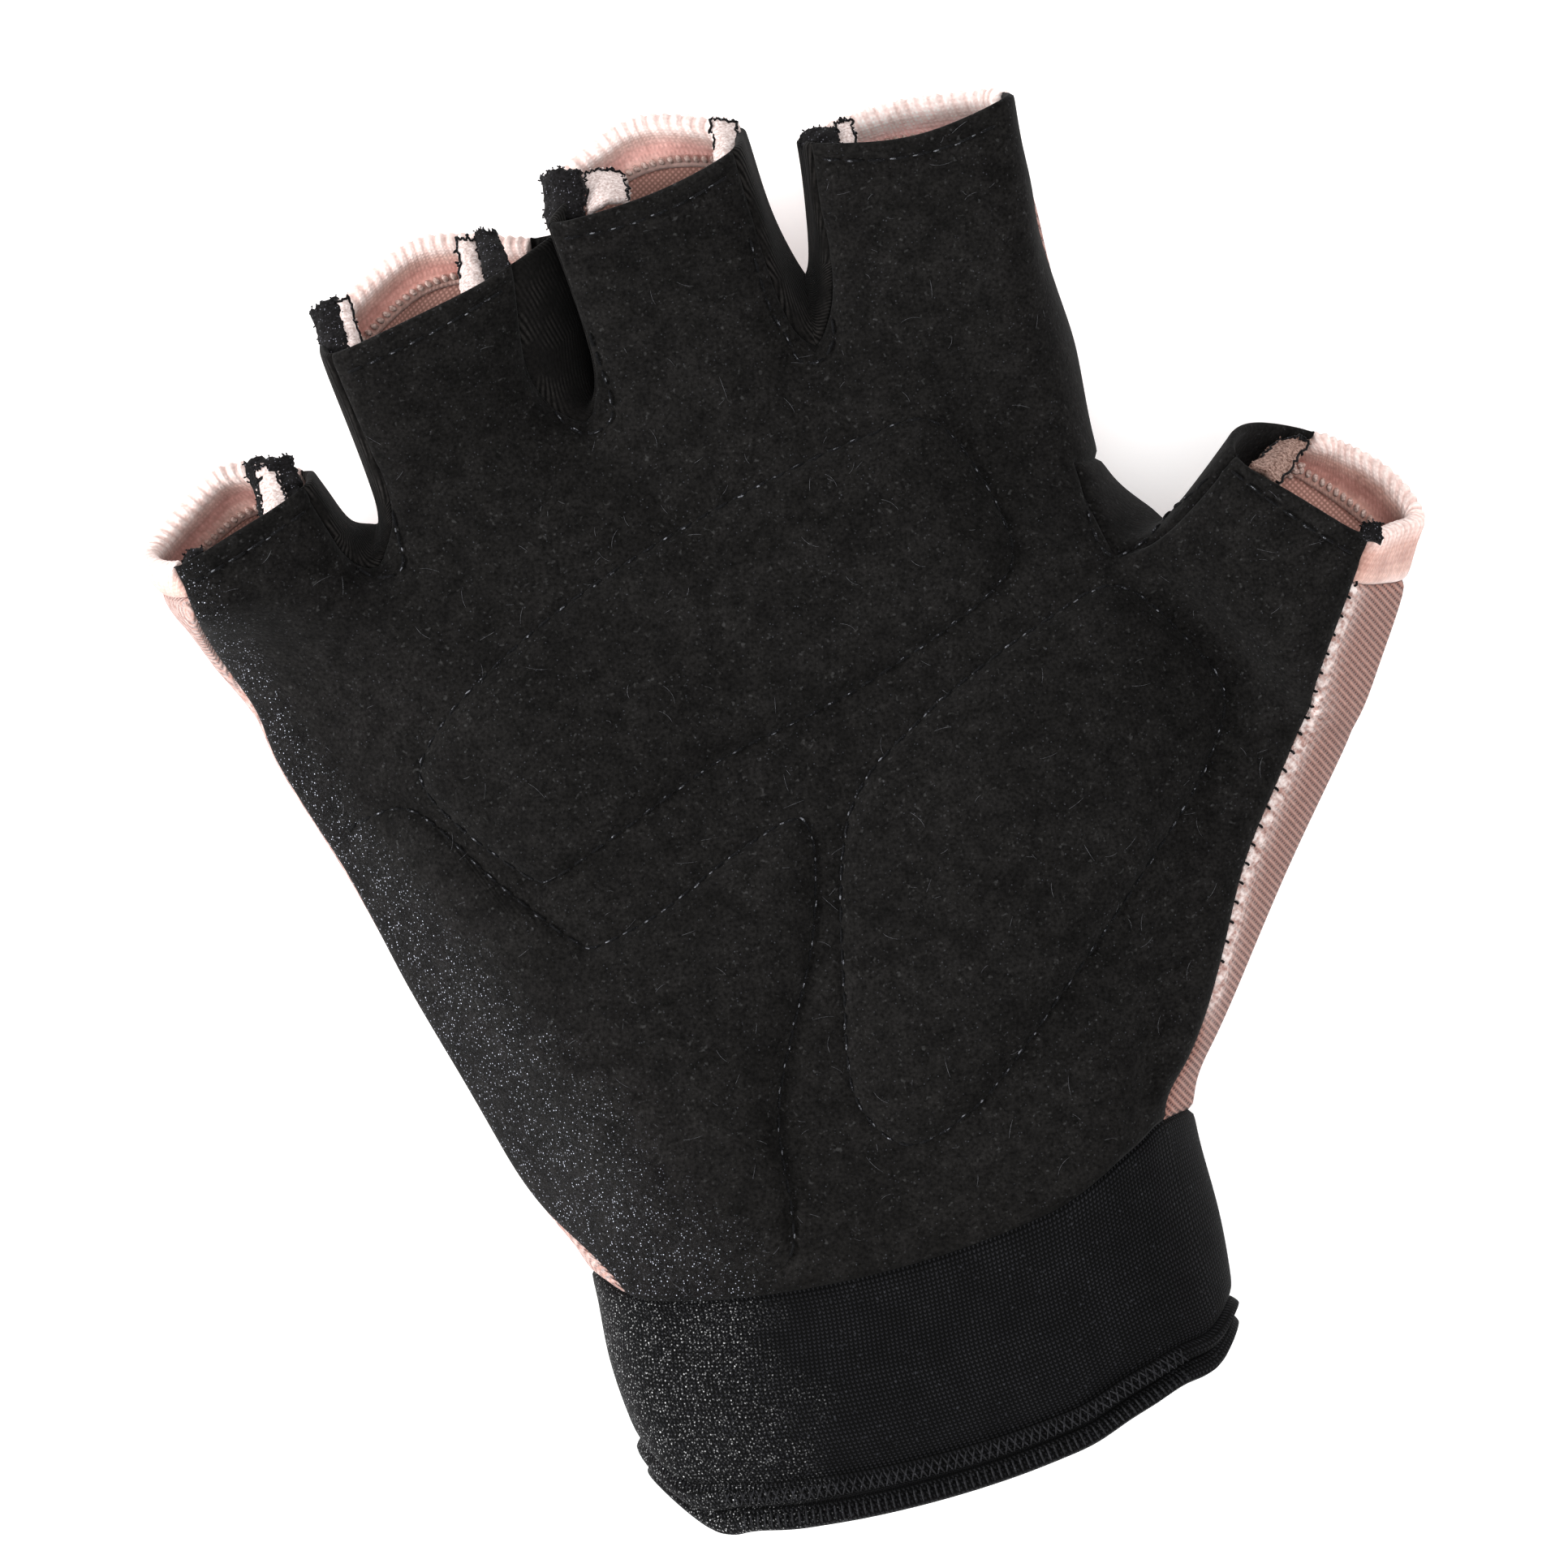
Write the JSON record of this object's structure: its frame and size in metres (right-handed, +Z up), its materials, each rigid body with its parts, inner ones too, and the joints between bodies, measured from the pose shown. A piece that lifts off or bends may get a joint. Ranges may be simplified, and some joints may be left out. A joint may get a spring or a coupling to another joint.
{
  "type": "fingerless cycling glove",
  "caption": "Slip-on right-hand fingerless cycling glove with padded suede palm, ribbed knit back and a hemmed knit wrist cuff, lying palm up.",
  "frame": {"origin": "centre of the object's box in plan, on the surface that the glove's back rests on", "axes": "+X across the palm towards the thumb, +Y from the wrist cuff to the fingertips, +Z up out of the palm"},
  "size_m": [0.1376, 0.1538, 0.0364],
  "materials": {
    "palm_suede": "matte black synthetic suede",
    "pink_knit": "matte pink ribbed knit",
    "cuff_knit": "black fine rib knit with a slight sheen",
    "gusset_mesh": "black ribbed stretch cloth"
  },
  "bodies": {
    "root": {"palm_panel": "palm_suede", "back_panel": "pink_knit", "cuff_band": "cuff_knit", "cuff_hem_upper": "cuff_knit", "cuff_hem_lower": "cuff_knit", "fourchette_little_ring": "gusset_mesh", "fourchette_ring_middle": "gusset_mesh", "fourchette_middle_index": "gusset_mesh", "thumb_gusset": "gusset_mesh", "binding_little": "pink_knit", "binding_ring": "pink_knit", "binding_middle": "pink_knit", "binding_index": "pink_knit", "binding_thumb": "pink_knit", "upper_palm_pad": "palm_suede", "heel_pad": "palm_suede", "thumb_base_pad": "palm_suede"}
  },
  "joints": []
}
